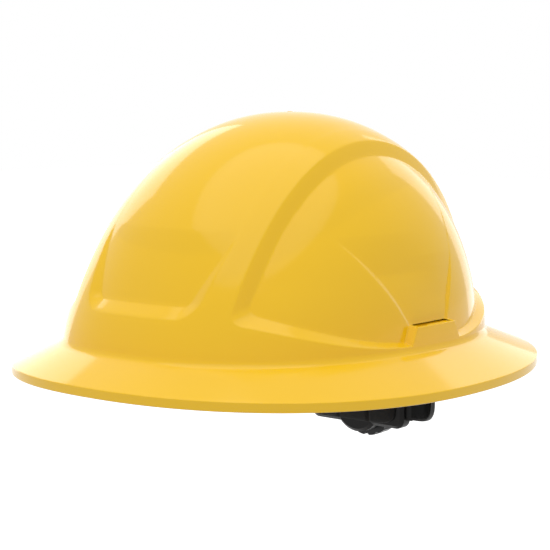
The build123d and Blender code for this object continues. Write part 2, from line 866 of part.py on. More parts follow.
with BuildPart() as case_screws:
    screw_seat = case_front + slide_gap + case_screw_head
    for side in (-1, 1):
        with BuildSketch(behind(screw_seat)):
            with Locations((side * case_screw_reach, 0)):
                Circle(case_screw_head_radius)
        extrude(amount=-case_screw_head)
        with BuildSketch(behind(screw_seat)):
            with Locations((side * case_screw_reach, 0)):
                Circle(case_screw_radius)
        extrude(amount=case_split + case_screw_depth - seat_gap - screw_seat)
        with BuildSketch(behind(screw_seat - case_screw_head)):
            with Locations((side * case_screw_reach, 0)):
                Rectangle(case_screw_radius / 2, 2 * case_screw_radius)
                Rectangle(2 * case_screw_radius, case_screw_radius / 2)
        extrude(amount=case_screw_head / 2, mode=Mode.SUBTRACT)
case_screws.part.label = "case_screws"
export_step(case_screws.part, "parts/case_screws.step")

# Knob with its spindle, and the pinion, screw and click spring that turn with it
knob_face = cover_face + ring_height + seat_gap
knob_back = knob_face + knob_width
spindle_foot = arm_end_back - rack_wall / 2 - bore_gap
with BuildPart() as knob:
    with BuildSketch(Plane.YZ):
        with BuildLine():
            Polyline(
                (knob_face, ratchet_height),
                (knob_face, ratchet_height + knob_radius),
                (knob_back - knob_edge, ratchet_height + knob_radius),
                (knob_back, ratchet_height + knob_radius - knob_edge),
                (knob_back, ratchet_height + knob_dish_radius),
                (knob_back - knob_dish, ratchet_height + knob_dish_radius - knob_dish),
                (knob_back - knob_dish, ratchet_height),
                close=True,
            )
        make_face()
    revolve(axis=Axis((0, 0, ratchet_height), (0, 1, 0)))
    with BuildSketch(behind(knob_face)):
        with PolarLocations(knob_radius + knob_groove / 2, knob_groove_count):
            Circle(knob_groove)
    extrude(amount=knob_width, mode=Mode.SUBTRACT)
    with BuildSketch(behind(knob_back)):
        Rectangle(2 * knob_grip_half, 2 * knob_dish_radius)
    extrude(amount=-knob_width / 2)
    with BuildSketch(behind(spindle_foot)):
        add(spindle_section(0))
        Circle(screw_radius + bore_gap, mode=Mode.SUBTRACT)
    extrude(amount=knob_face - spindle_foot)
knob.part.label = "knob"
export_step(knob.part, "parts/knob.step")

with BuildPart() as pinion:
    with BuildSketch(behind(arm_end_back - rack_wall / 2)):
        Circle(pitch_radius - tooth_root)
        for tooth in range(pinion_count):
            with BuildLine(Plane.XY.rotated((0, 0, 360 * tooth / pinion_count))):
                Polyline(
                    (-tooth_root_half, pitch_radius - tooth_root - tooth_gap),
                    (tooth_root_half, pitch_radius - tooth_root - tooth_gap),
                    (tooth_tip_half, pitch_radius + tooth_height),
                    (-tooth_tip_half, pitch_radius + tooth_height),
                    close=True,
                )
            make_face()
        add(spindle_section(bore_gap), mode=Mode.SUBTRACT)
    extrude(amount=rack_wall)
pinion.part.label = "pinion"
export_step(pinion.part, "parts/pinion.step")

with BuildPart() as click_spring:
    with BuildSketch(behind(knob_face - seat_gap - spring_wall)):
        Circle(spring_hub)
        with PolarLocations(spring_reach / 2, spring_arm_count):
            Rectangle(spring_reach, spring_arm_width)
        add(spindle_section(bore_gap), mode=Mode.SUBTRACT)
    extrude(amount=spring_wall)
click_spring.part.label = "click_spring"
export_step(click_spring.part, "parts/click_spring.step")

with BuildPart() as knob_screw:
    with BuildSketch(behind(spindle_foot - screw_head)):
        Circle(screw_head_radius)
    extrude(amount=screw_head)
    with BuildSketch(behind(spindle_foot - screw_head)):
        Rectangle(screw_radius / 2, 2 * screw_radius)
        Rectangle(2 * screw_radius, screw_radius / 2)
    extrude(amount=screw_head / 2, mode=Mode.SUBTRACT)
    with BuildSketch(behind(spindle_foot)):
        Circle(screw_radius)
    extrude(amount=knob_face - spindle_foot - seat_gap)
knob_screw.part.label = "knob_screw"
export_step(knob_screw.part, "parts/knob_screw.step")

# Nape pad on the head's side of the ratchet
with BuildPart() as nape_pad:
    with BuildSketch(behind(case_front - seat_gap - pad_thickness)):
        RectangleRounded(2 * pad_half_width, 2 * pad_half_height, pad_corner)
    extrude(amount=pad_thickness)
    fillet(faces().sort_by(Axis.Y)[0].edges(), pad_thickness / 2)
nape_pad.part.label = "nape_pad"
export_step(nape_pad.part, "parts/nape_pad.step")
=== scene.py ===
import json
import math
import bpy
import bmesh
import numpy as np
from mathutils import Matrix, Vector
from mathutils.bvhtree import BVHTree


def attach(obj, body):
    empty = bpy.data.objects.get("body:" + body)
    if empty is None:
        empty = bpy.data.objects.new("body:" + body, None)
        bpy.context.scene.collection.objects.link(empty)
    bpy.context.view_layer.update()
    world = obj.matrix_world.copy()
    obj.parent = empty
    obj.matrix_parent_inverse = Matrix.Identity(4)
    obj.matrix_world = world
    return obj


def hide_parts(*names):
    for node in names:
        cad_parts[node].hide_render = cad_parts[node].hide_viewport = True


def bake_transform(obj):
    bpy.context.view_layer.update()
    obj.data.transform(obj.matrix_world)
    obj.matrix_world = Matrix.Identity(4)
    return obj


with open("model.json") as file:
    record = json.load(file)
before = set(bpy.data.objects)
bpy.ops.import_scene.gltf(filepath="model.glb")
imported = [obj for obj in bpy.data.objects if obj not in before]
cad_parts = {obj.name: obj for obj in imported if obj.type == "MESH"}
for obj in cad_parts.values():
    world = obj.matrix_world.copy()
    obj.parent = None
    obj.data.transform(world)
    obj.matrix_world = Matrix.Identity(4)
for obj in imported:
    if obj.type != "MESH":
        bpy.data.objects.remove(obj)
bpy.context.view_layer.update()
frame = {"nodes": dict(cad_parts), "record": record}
nodes = frame["nodes"]
mm = 0.001

# Camera, at the photograph's angle
photoCamera = {
    "place": (0.58507, -0.70377, 0.15493),
    "target": (0, 0, 0.06),
    "lens": 103.06,
    "sensor": 36,
    "imageSide": 550,
    "shiftRight": 3.32,
    "shiftUp": 13.54,
}


def addCamera():
    data = bpy.data.cameras.new("photoCamera")
    data.lens = photoCamera["lens"]
    data.sensor_width = photoCamera["sensor"]
    data.shift_x = -photoCamera["shiftRight"] / photoCamera["imageSide"]
    data.shift_y = -photoCamera["shiftUp"] / photoCamera["imageSide"]
    camera = bpy.data.objects.new("photoCamera", data)
    camera.location = photoCamera["place"]
    sight = Vector(photoCamera["target"]) - Vector(photoCamera["place"])
    camera.rotation_euler = sight.to_track_quat("-Z", "Y").to_euler()
    bpy.context.scene.collection.objects.link(camera)
    bpy.context.scene.camera = camera


# Studio: a round overhead light with a soft edge and two tall boxes behind the hat
overheadLamp = {"shape": "DISK", "turn": 10, "height": 78, "reach": 1.6}
rearLamp = {"shape": "RECTANGLE", "reach": 1.4}
studio = {
    "worldStrength": 0.71,
    "floorHeight": -0.3,
    "floorSize": 14,
    "floorGlow": 0.8,
    "floorColor": (0.5, 0.5, 0.5, 1),
    "floorRoughness": 0.9,
    "lamps": [
        {**overheadLamp, "name": "overheadCore", "size": (1.55, 1.55), "glow": 0.92},
        {**overheadLamp, "name": "overheadMiddle", "size": (1.9, 1.9), "glow": 0.9},
        {**overheadLamp, "name": "overheadEdge", "size": (2.2, 2.2), "glow": 0.73},
        {**rearLamp, "name": "backRight", "turn": -110, "height": 12, "size": (0.86, 1.2), "glow": 1.3},
        {**rearLamp, "name": "backLeft", "turn": 186, "height": 14, "size": (0.5, 1.1), "glow": 0.9},
    ],
}


def addLamp(lamp):
    data = bpy.data.lights.new(lamp["name"], "AREA")
    width, height = lamp["size"]
    data.shape = lamp["shape"]
    data.size = width
    if data.shape == "DISK":
        area = math.pi * width * width / 4
    else:
        area = width * height
        data.size_y = height
    data.energy = lamp["glow"] * math.pi * area
    light = bpy.data.objects.new(lamp["name"], data)
    turn = math.radians(lamp["turn"])
    rise = math.radians(lamp["height"])
    aim = Vector((math.sin(turn) * math.cos(rise), -math.cos(turn) * math.cos(rise), math.sin(rise)))
    light.location = aim * lamp["reach"] + Vector(photoCamera["target"])
    light.rotation_euler = aim.to_track_quat("Z", "Y").to_euler()
    light.visible_camera = False
    bpy.context.scene.collection.objects.link(light)


def backgroundRays(tree):
    # the rays that see the white background: camera, mirror and clear glass
    path = tree.nodes.new("ShaderNodeLightPath")
    seen = path.outputs["Is Camera Ray"]
    for ray in ("Is Glossy Ray", "Is Transmission Ray"):
        either = tree.nodes.new("ShaderNodeMath")
        either.operation = "MAXIMUM"
        tree.links.new(seen, either.inputs[0])
        tree.links.new(path.outputs[ray], either.inputs[1])
        seen = either.outputs[0]
    return seen


def addStudio():
    world = bpy.data.worlds.new("studioWorld")
    bpy.context.scene.world = world
    world.use_nodes = True
    tree = world.node_tree
    back = tree.nodes["Background"]
    back.inputs["Color"].default_value = (1, 1, 1, 1)
    level = tree.nodes.new("ShaderNodeMapRange")
    level.inputs["To Min"].default_value = studio["worldStrength"]
    level.inputs["To Max"].default_value = 1
    tree.links.new(backgroundRays(tree), level.inputs["Value"])
    tree.links.new(level.outputs["Result"], back.inputs["Strength"])
    for lamp in studio["lamps"]:
        addLamp(lamp)
    half = studio["floorSize"] / 2
    mesh = bpy.data.meshes.new("floor")
    corners = [(-half, -half, 0), (half, -half, 0), (half, half, 0), (-half, half, 0)]
    mesh.from_pydata(corners, [], [(0, 1, 2, 3)])
    floor = bpy.data.objects.new("floor", mesh)
    floor.location.z = studio["floorHeight"]
    bpy.context.scene.collection.objects.link(floor)
    paper = bpy.data.materials.new("floorPaper")
    paper.use_nodes = True
    tree = paper.node_tree
    bsdf = tree.nodes["Principled BSDF"]
    bsdf.inputs["Base Color"].default_value = studio["floorColor"]
    bsdf.inputs["Roughness"].default_value = studio["floorRoughness"]
    bsdf.inputs["Specular IOR Level"].default_value = 0
    bsdf.inputs["Emission Color"].default_value = (1, 1, 1, 1)
    glow = tree.nodes.new("ShaderNodeMath")
    glow.operation = "MULTIPLY"
    glow.inputs[1].default_value = studio["floorGlow"]
    tree.links.new(backgroundRays(tree), glow.inputs[0])
    tree.links.new(glow.outputs[0], bsdf.inputs["Emission Strength"])
    mesh.materials.append(paper)
    bpy.context.scene.view_settings.view_transform = "Standard"


# Effects that several materials share
def newGroup(name, ins, outs):
    tree = bpy.data.node_groups.new(name, "ShaderNodeTree")
    for label, kind, value in ins:
        socket = tree.interface.new_socket(label, in_out="INPUT", socket_type=kind)
        if value is not None:
            socket.default_value = value
    for label, kind in outs:
        tree.interface.new_socket(label, in_out="OUTPUT", socket_type=kind)
    return tree, tree.nodes.new("NodeGroupInput"), tree.nodes.new("NodeGroupOutput")


def mathNode(tree, operation, first, second=None):
    node = tree.nodes.new("ShaderNodeMath")
    node.operation = operation
    for socket, value in zip(node.inputs, (first, second)):
        if value is None:
            continue
        if isinstance(value, (int, float)):
            socket.default_value = value
        else:
            tree.links.new(value, socket)
    return node.outputs[0]


def noiseNode(tree, vector, scale, detail):
    node = tree.nodes.new("ShaderNodeTexNoise")
    node.inputs["Detail"].default_value = detail
    tree.links.new(vector, node.inputs["Vector"])
    if isinstance(scale, (int, float)):
        node.inputs["Scale"].default_value = scale
    else:
        tree.links.new(scale, node.inputs["Scale"])
    return node.outputs["Fac"]


mould = {"driftScale": 14, "driftDetail": 3, "smearScale": 60, "smearDetail": 6, "grainDetail": 2}


def makeMouldGroup():
    # moulded plastic: slow colour drift, uneven gloss and a fine grain
    tree, enter, leave = newGroup(
        "mouldedSurface",
        [
            ("Color", "NodeSocketColor", None),
            ("Color Drift", "NodeSocketFloat", 0.05),
            ("Roughness", "NodeSocketFloat", 0.3),
            ("Gloss Drift", "NodeSocketFloat", 0.05),
            ("Grain Scale", "NodeSocketFloat", 900),
        ],
        [("Color", "NodeSocketColor"), ("Roughness", "NodeSocketFloat"), ("Grain", "NodeSocketFloat")],
    )
    where = tree.nodes.new("ShaderNodeTexCoord").outputs["Object"]
    drift = noiseNode(tree, where, mould["driftScale"], mould["driftDetail"])
    smear = noiseNode(tree, where, mould["smearScale"], mould["smearDetail"])
    shade = mathNode(tree, "SUBTRACT", drift, 0.5)
    shade = mathNode(tree, "MULTIPLY", shade, enter.outputs["Color Drift"])
    shade = mathNode(tree, "ADD", shade, 1)
    tint = tree.nodes.new("ShaderNodeVectorMath")
    tint.operation = "SCALE"
    tree.links.new(enter.outputs["Color"], tint.inputs[0])
    tree.links.new(shade, tint.inputs["Scale"])
    rough = mathNode(tree, "SUBTRACT", smear, 0.5)
    rough = mathNode(tree, "MULTIPLY", rough, enter.outputs["Gloss Drift"])
    rough = mathNode(tree, "ADD", rough, enter.outputs["Roughness"])
    grain = noiseNode(tree, where, enter.outputs["Grain Scale"], mould["grainDetail"])
    tree.links.new(tint.outputs[0], leave.inputs["Color"])
    tree.links.new(rough, leave.inputs["Roughness"])
    tree.links.new(grain, leave.inputs["Grain"])
    return tree


def newMaterial(name):
    material = bpy.data.materials.new(name)
    material.use_nodes = True
    return material, material.node_tree, material.node_tree.nodes["Principled BSDF"]


def bumpInto(tree, bsdf, height, distance):
    bump = tree.nodes.new("ShaderNodeBump")
    bump.inputs["Distance"].default_value = distance
    bump.inputs["Strength"].default_value = 1
    tree.links.new(height, bump.inputs["Height"])
    tree.links.new(bump.outputs["Normal"], bsdf.inputs["Normal"])


weave = {"fibreScale": 1500, "fibreDetail": 4, "roughness": 0.78}


def makeWeaveGroup():
    # plain weave over a UV map in metres: threads that pass over and under each other
    tree, enter, leave = newGroup(
        "wovenThreads",
        [
            ("Color", "NodeSocketColor", None),
            ("Threads Across", "NodeSocketFloat", 900),
            ("Threads Along", "NodeSocketFloat", 500),
            ("Shadow", "NodeSocketFloat", 0.45),
            ("Fuzz", "NodeSocketFloat", 0.2),
        ],
        [("Color", "NodeSocketColor"), ("Roughness", "NodeSocketFloat"), ("Relief", "NodeSocketFloat")],
    )
    spot = tree.nodes.new("ShaderNodeSeparateXYZ")
    tree.links.new(tree.nodes.new("ShaderNodeUVMap").outputs["UV"], spot.inputs[0])
    across = mathNode(tree, "MULTIPLY", spot.outputs["X"], enter.outputs["Threads Across"])
    along = mathNode(tree, "MULTIPLY", spot.outputs["Y"], enter.outputs["Threads Along"])
    cell = mathNode(tree, "ADD", mathNode(tree, "FLOOR", across), mathNode(tree, "FLOOR", along))
    over = mathNode(tree, "PINGPONG", cell, 1)
    rounds = []
    for coordinate in (across, along):
        turn = mathNode(tree, "MULTIPLY", coordinate, math.pi)
        rounds.append(mathNode(tree, "ABSOLUTE", mathNode(tree, "SINE", turn)))
    warp = mathNode(tree, "MULTIPLY", rounds[0], over)
    weft = mathNode(tree, "MULTIPLY", rounds[1], mathNode(tree, "SUBTRACT", 1, over))
    relief = mathNode(tree, "ADD", warp, weft)
    where = tree.nodes.new("ShaderNodeTexCoord").outputs["Object"]
    fibre = noiseNode(tree, where, weave["fibreScale"], weave["fibreDetail"])
    fibre = mathNode(tree, "SUBTRACT", fibre, 0.5)
    fibre = mathNode(tree, "MULTIPLY", fibre, enter.outputs["Fuzz"])
    shade = mathNode(tree, "SUBTRACT", relief, 1)
    shade = mathNode(tree, "MULTIPLY", shade, enter.outputs["Shadow"])
    shade = mathNode(tree, "ADD", mathNode(tree, "ADD", shade, 1), fibre)
    tint = tree.nodes.new("ShaderNodeVectorMath")
    tint.operation = "SCALE"
    tree.links.new(enter.outputs["Color"], tint.inputs[0])
    tree.links.new(shade, tint.inputs["Scale"])
    tree.links.new(tint.outputs[0], leave.inputs["Color"])
    tree.links.new(mathNode(tree, "ADD", fibre, weave["roughness"]), leave.inputs["Roughness"])
    tree.links.new(mathNode(tree, "ADD", relief, fibre), leave.inputs["Relief"])
    return tree


mouldGroup = makeMouldGroup()
weaveGroup = makeWeaveGroup()
plasticIor = 1.5
fabricShine = 0.25


def plasticMaterial(
    name, color, drift, roughness, glossDrift, grainScale, grainDepth, shine=0.5, metallic=0
):
    material, tree, bsdf = newMaterial(name)
    group = tree.nodes.new("ShaderNodeGroup")
    group.node_tree = mouldGroup
    group.inputs["Color"].default_value = (*color, 1)
    group.inputs["Color Drift"].default_value = drift
    group.inputs["Roughness"].default_value = roughness
    group.inputs["Gloss Drift"].default_value = glossDrift
    group.inputs["Grain Scale"].default_value = grainScale
    tree.links.new(group.outputs["Color"], bsdf.inputs["Base Color"])
    tree.links.new(group.outputs["Roughness"], bsdf.inputs["Roughness"])
    bumpInto(tree, bsdf, group.outputs["Grain"], grainDepth)
    bsdf.inputs["IOR"].default_value = plasticIor
    bsdf.inputs["Specular IOR Level"].default_value = shine
    bsdf.inputs["Metallic"].default_value = metallic
    return material


def fabricMaterial(name, color, across, along, shadow, fuzz, depth, sheen):
    material, tree, bsdf = newMaterial(name)
    group = tree.nodes.new("ShaderNodeGroup")
    group.node_tree = weaveGroup
    group.inputs["Color"].default_value = (*color, 1)
    group.inputs["Threads Across"].default_value = across
    group.inputs["Threads Along"].default_value = along
    group.inputs["Shadow"].default_value = shadow
    group.inputs["Fuzz"].default_value = fuzz
    tree.links.new(group.outputs["Color"], bsdf.inputs["Base Color"])
    tree.links.new(group.outputs["Roughness"], bsdf.inputs["Roughness"])
    bumpInto(tree, bsdf, group.outputs["Relief"], depth)
    bsdf.inputs["Sheen Weight"].default_value = sheen
    bsdf.inputs["Specular IOR Level"].default_value = fabricShine
    return material


plastics = {
    "yellowShell": {"color": (0.96, 0.575, 0.006), "drift": 0.03, "roughness": 0.1, "glossDrift": 0.03,
                    "grainScale": 260, "grainDepth": 0.000004, "shine": 0.4},
    "blackNylon": {"color": (0.005, 0.0045, 0.004), "drift": 0.3, "roughness": 0.4, "glossDrift": 0.12,
                   "grainScale": 2400, "grainDepth": 0.00004, "shine": 0.18},
    "blackKnob": {"color": (0.005, 0.005, 0.005), "drift": 0.3, "roughness": 0.34, "glossDrift": 0.1,
                  "grainScale": 3200, "grainDepth": 0.00003, "shine": 0.3},
    "greyAcetal": {"color": (0.55, 0.54, 0.5), "drift": 0.06, "roughness": 0.35, "glossDrift": 0.08,
                   "grainScale": 1800, "grainDepth": 0.00001},
    "zincPlate": {"color": (0.62, 0.61, 0.58), "drift": 0.2, "roughness": 0.32, "glossDrift": 0.25,
                  "grainScale": 2600, "grainDepth": 0.00001, "metallic": 1},
}
fabrics = {
    "blackWebbing": {"color": (0.022, 0.022, 0.024), "across": 1100, "along": 620, "shadow": 0.6,
                     "fuzz": 0.25, "depth": 0.00018, "sheen": 0.15},
    "brushedTerry": {"color": (0.03, 0.03, 0.033), "across": 1500, "along": 1500, "shadow": 0.35,
                     "fuzz": 0.9, "depth": 0.00025, "sheen": 0.5},
    "facedFoam": {"color": (0.012, 0.011, 0.01), "across": 1200, "along": 1200, "shadow": 0.4,
                  "fuzz": 0.5, "depth": 0.00015, "sheen": 0.05},
}
finishes = {name: plasticMaterial(name, **look) for name, look in plastics.items()}
finishes.update({name: fabricMaterial(name, **look) for name, look in fabrics.items()})


def setMaterial(obj, material):
    obj.data.materials.clear()
    obj.data.materials.append(material)


def linkMesh(name, points, faces, material):
    mesh = bpy.data.meshes.new(name)
    mesh.from_pydata([tuple(p) for p in points], [], [tuple(f) for f in faces])
    mesh.validate()
    piece = bpy.data.objects.new(name, mesh)
    bpy.context.scene.collection.objects.link(piece)
    mesh.materials.append(material)
    mesh.polygons.foreach_set("use_smooth", [True] * len(mesh.polygons))
    return piece


def pointsOf(mesh):
    points = np.empty(len(mesh.vertices) * 3)
    mesh.vertices.foreach_get("co", points)
    return points.reshape(-1, 3)


def setPoints(mesh, points):
    mesh.vertices.foreach_set("co", np.asarray(points).ravel())
    mesh.update()


# The shell, in millimetres: a crown over an oval brim, with sunk panels
shell = {
    "rimHalfWidth": 139.4, "rimFront": 155.2, "rimRear": 159.4, "rimLip": 5.3, "lipWall": 3,
    "rimRound": 2.27, "rimSaddle": (-0.9, 0.15, 1.39), "solidRim": (136, 155, 163, 2.36),
    "domeHalfWidth": 109, "domeFront": 129.3, "domeRear": 127.1, "footHeight": 19.6, "domeHeight": 147.3,
    "apexBack": 10.7, "topLevel": 0.99995, "levelPower": 1.1, "footRound": (2.42, 2.22),
    "sideCurve": (2.25, 2.11), "frontCurve": (1.27, 2.16), "rearCurve": (2.12, 2.11),
    "leanFrom": 45, "leanOver": 15, "edgeRadius": 0.6, "filletReach": 2.8, "socketTop": 36,
}
shellMesh = {
    "columns": 540, "crownRows": 110, "passes": 4, "bend": 0.03, "shortest": 0.4, "arcPoints": 5,
    "lipArc": 65, "lipShares": (0.33, 0.67, 1), "brimPoints": 15, "filletPoints": 9,
}
sidePanel = {
    "depth": 5, "reach": 57.5, "reachLedge": 6.3, "foot": 22.9, "footBend": 1.9, "footLedge": 1.6,
    "front": {"start": -18, "length": 87, "rise": 16, "ledgeGain": 4.9},
    "rear": {"start": 24, "length": 81, "rise": 18, "ledgeGain": 2},
    "farthest": 1.4, "dropRange": (-1, 2), "corner": 5.5, "tabTop": 32.5, "tabFront": -13,
    "tabRear": 23, "tabFlare": 4.5, "tabSlope": 2.8, "tabTopSlope": 8, "tabCorner": 0.5,
}
facet = {
    "low": 0.9, "high": 2.2, "fullHeight": 62, "frontTop": 84, "rearTop": 71, "rearFade": 24,
    "front": -14, "rear": 21.5, "frontLean": -0.755, "rearLean": 0.42, "frontSlope": 0.5,
    "rearSlope": 1.6, "corner": 0.2,
}
endPanel = {
    "foot": 41, "halfWidth": 39.7, "spread": 0.18, "spreadTop": 76, "fade": 86, "level": 4,
    "corner": 11, "slope": 0.53, "frontGain": 0.112, "rearGain": 0.09,
}
slot = {"inner": 102.3, "outer": 106.5, "middle": 5, "halfWidth": 15.5, "mouth": 1.2, "slack": 0.3}
creaseRadius = 0.3
leastDepth = 0.001


def superOval(turn, halfWidth, front, rear, middle, roundness):
    across = np.sign(np.sin(turn)) * np.abs(np.sin(turn)) ** (2 / roundness)
    along = np.sign(np.cos(turn)) * np.abs(np.cos(turn)) ** (2 / roundness)
    reach = np.where(along > 0, front + middle, rear - middle)
    return halfWidth * across, middle - reach * along


def saddle(y):
    # the brim's edge lies lowest at the sides and rises a little to the front and rear
    level, lean, bend = shell["rimSaddle"]
    return level + lean * y / 100 + bend * (y / 100) ** 2


def rimRing(turn, inset, height):
    x, y = superOval(
        turn, shell["rimHalfWidth"] - inset, shell["rimFront"] - inset, shell["rimRear"] - inset, 0,
        shell["rimRound"],
    )
    return np.stack([x, y, height + saddle(y)], axis=-1)


def ovalReach(x, y, halfWidth, front, rear, roundness):
    # how far the oval's edge is from its middle, in the direction of each point
    away = np.hypot(x, y) + 1e-9
    across = np.abs(x / away) / halfWidth
    along = np.abs(y / away) / np.where(y < 0, front, rear)
    return (across**roundness + along**roundness) ** (-1 / roundness)


def bendToSaddle(points):
    # the solid's flat brim, moved out to the photographed edge
    x, y, z = points.T
    solidEdge = ovalReach(x, y, *shell["solidRim"])
    edge = ovalReach(x, y, shell["rimHalfWidth"], shell["rimFront"], shell["rimRear"], shell["rimRound"])
    dome = [shell[key] for key in ("domeHalfWidth", "domeFront", "domeRear")]
    foot = ovalReach(x, y, *dome, shell["footRound"][1])
    share = np.clip((np.hypot(x, y) - foot) / (solidEdge - foot), 0, 1)
    grow = 1 + share * (edge / solidEdge - 1)
    return np.stack([x * grow, y * grow, z + share * saddle(y)], axis=-1)


def crownPlain(turn, angle):
    # the crown without its panels; the angle runs from the foot up to a right angle at the apex
    level = np.clip(np.sin(angle), 0, shell["topLevel"]) ** (1 / shell["levelPower"])

    def curve(pair):
        return np.maximum(0, 1 - level ** pair[0]) ** (1 / pair[1])

    back = shell["apexBack"]
    footRound = np.where(np.cos(turn) > 0, *shell["footRound"])
    roundness = 2 + (footRound - 2) * (1 - level)
    front = (shell["domeFront"] + back) * curve(shell["frontCurve"]) - back
    rear = (shell["domeRear"] - back) * curve(shell["rearCurve"]) + back
    halfWidth = shell["domeHalfWidth"] * curve(shell["sideCurve"])
    x, y = superOval(turn, halfWidth, front, rear, back, roundness)
    height = shell["footHeight"] + (shell["domeHeight"] - shell["footHeight"]) * level
    return np.stack([x, y, height + 0 * x], axis=-1)


def rounded(value, radius=creaseRadius):
    # the value where it is positive, else zero, with a rounded corner between
    return 0.5 * (value + np.sqrt(value * value + radius * radius))


def softMin(first, second, reach):
    near = np.clip(0.5 + 0.5 * (second - first) / reach, 0, 1)
    return second * (1 - near) + first * near - reach * near * (1 - near)


def sunkLedge(ramp, floor):
    # a ledge that runs down from its outer edge until it meets the floor
    gap = floor - rounded(ramp)
    return floor - rounded(gap) + rounded(floor) - floor


def sidePanelDepth(x, y, z):
    depth = sidePanel["depth"]
    ramp = (np.abs(x) - sidePanel["reach"]) * depth / sidePanel["reachLedge"]
    foot, ledge = sidePanel["foot"], sidePanel["footLedge"]
    for end, sign in ((sidePanel["front"], -1), (sidePanel["rear"], 1)):
        along = np.clip(sign * (y - end["start"]) / end["length"], 0, sidePanel["farthest"])
        foot = foot + end["rise"] * along ** sidePanel["footBend"]
        ledge = ledge + end["ledgeGain"] * along
    ramp = softMin(ramp, (z - foot) * depth / ledge, sidePanel["corner"])
    drop = (sidePanel["tabTop"] - z) / (sidePanel["tabTop"] - sidePanel["foot"])
    drop = np.clip(drop, *sidePanel["dropRange"])
    before = (sidePanel["tabFront"] - sidePanel["tabFlare"] * drop - y) * sidePanel["tabSlope"]
    behind = (y - sidePanel["tabRear"] - sidePanel["tabFlare"] * drop) * sidePanel["tabSlope"]
    above = (z - sidePanel["tabTop"]) * sidePanel["tabTopSlope"]
    corner = sidePanel["tabCorner"]
    ramp = softMin(ramp, -softMin(-above, -np.maximum(before, behind), corner), corner)
    rise = z - sidePanel["tabTop"]
    front = (y - facet["front"] - facet["frontLean"] * rise) * facet["frontSlope"]
    rear = (facet["rear"] + facet["rearLean"] * rise - y) * facet["rearSlope"]
    share = np.clip(rise / (facet["fullHeight"] - sidePanel["tabTop"]), 0, 1)
    full = facet["low"] + (facet["high"] - facet["low"]) * share
    frontFull = full * np.clip((facet["frontTop"] - z) / (facet["frontTop"] - facet["fullHeight"]), 0, 1)
    rearFull = full * np.clip((facet["rearTop"] - z) / facet["rearFade"], 0, 1)
    towardRear = np.clip((y - facet["front"]) / (facet["rear"] - facet["front"]), 0, 1)
    towardRear = towardRear * towardRear * (3 - 2 * towardRear)
    full = frontFull + (rearFull - frontFull) * towardRear
    extra = sunkLedge(softMin(front, rear, facet["corner"]), np.maximum(full, leastDepth))
    return sunkLedge(ramp, depth + extra * (rise > -creaseRadius))


def endPanelDepth(x, y, z):
    spread = np.minimum(z, endPanel["spreadTop"]) - endPanel["foot"]
    half = endPanel["halfWidth"] + endPanel["spread"] * spread
    corner = endPanel["corner"]
    across = np.abs(x) - (half - corner)
    down = endPanel["foot"] + corner - z
    outside = np.hypot(np.maximum(across, 0), np.maximum(down, 0)) - corner
    inward = -(outside + np.minimum(np.maximum(across, down), 0))
    gain = np.where(y < 0, endPanel["frontGain"], endPanel["rearGain"])
    deepest = endPanel["fade"] - endPanel["foot"] - endPanel["level"]
    floor = gain * np.clip(endPanel["fade"] - z, leastDepth, deepest)
    return sunkLedge(inward * endPanel["slope"], floor)


def crownSunk(turn, angle):
    step = 0.0004
    point = crownPlain(turn, angle)
    high = np.minimum(angle + step, math.pi / 2)
    across = crownPlain(turn + step, angle) - crownPlain(turn - step, angle)
    normal = np.cross(across, crownPlain(turn, high) - crownPlain(turn, high - 2 * step))
    normal /= np.linalg.norm(normal, axis=-1, keepdims=True) + 1e-15
    x, y, z = point[..., 0], point[..., 1], point[..., 2]
    level = normal * np.array([1, 1, 0])
    level /= np.linalg.norm(level, axis=-1, keepdims=True) + 1e-12
    lean = np.clip((z - shell["leanFrom"]) / shell["leanOver"], 0, 1)[..., None]
    sideways = level * (1 - lean) + normal * lean
    inward = sideways * sidePanelDepth(x, y, z)[..., None] + normal * endPanelDepth(x, y, z)[..., None]
    return point - inward


def crownNormals(turn, angle):
    step = 0.0005
    high = np.minimum(angle + step, math.pi / 2 - 4 * step)
    across = crownSunk(turn + step, angle) - crownSunk(turn - step, angle)
    normal = np.cross(across, crownSunk(turn, high) - crownSunk(turn, high - 2 * step))
    return normal / (np.linalg.norm(normal, axis=-1, keepdims=True) + 1e-15)


def splitEdges(marked, triangles, edgeOf, firstNew):
    # cuts every triangle that has marked edges; edgeOf holds each triangle's three edges
    number = np.full(len(marked), -1)
    number[marked] = firstNew + np.arange(marked.sum())
    cut = marked[edgeOf]
    count = cut.sum(axis=1)
    pieces = [triangles[count == 0]]
    for turn in range(3):
        order = [turn, (turn + 1) % 3, (turn + 2) % 3]
        one = (count == 1) & cut[:, turn]
        a, b, c = triangles[one][:, order].T
        mid = number[edgeOf[one, turn]]
        pieces += [np.stack([a, mid, c], 1), np.stack([mid, b, c], 1)]
        two = (count == 2) & ~cut[:, order[2]]
        a, b, c = triangles[two][:, order].T
        first, second = number[edgeOf[two, order[0]]], number[edgeOf[two, order[1]]]
        pieces += [np.stack([first, b, second], 1), np.stack([a, first, second], 1),
                   np.stack([a, second, c], 1)]
    three = count == 3
    a, b, c = triangles[three].T
    ab, bc, ca = number[edgeOf[three]].T
    for corners in ((a, ab, ca), (ab, b, bc), (ca, bc, c), (ab, bc, ca)):
        pieces.append(np.stack(corners, 1))
    return np.concatenate(pieces)


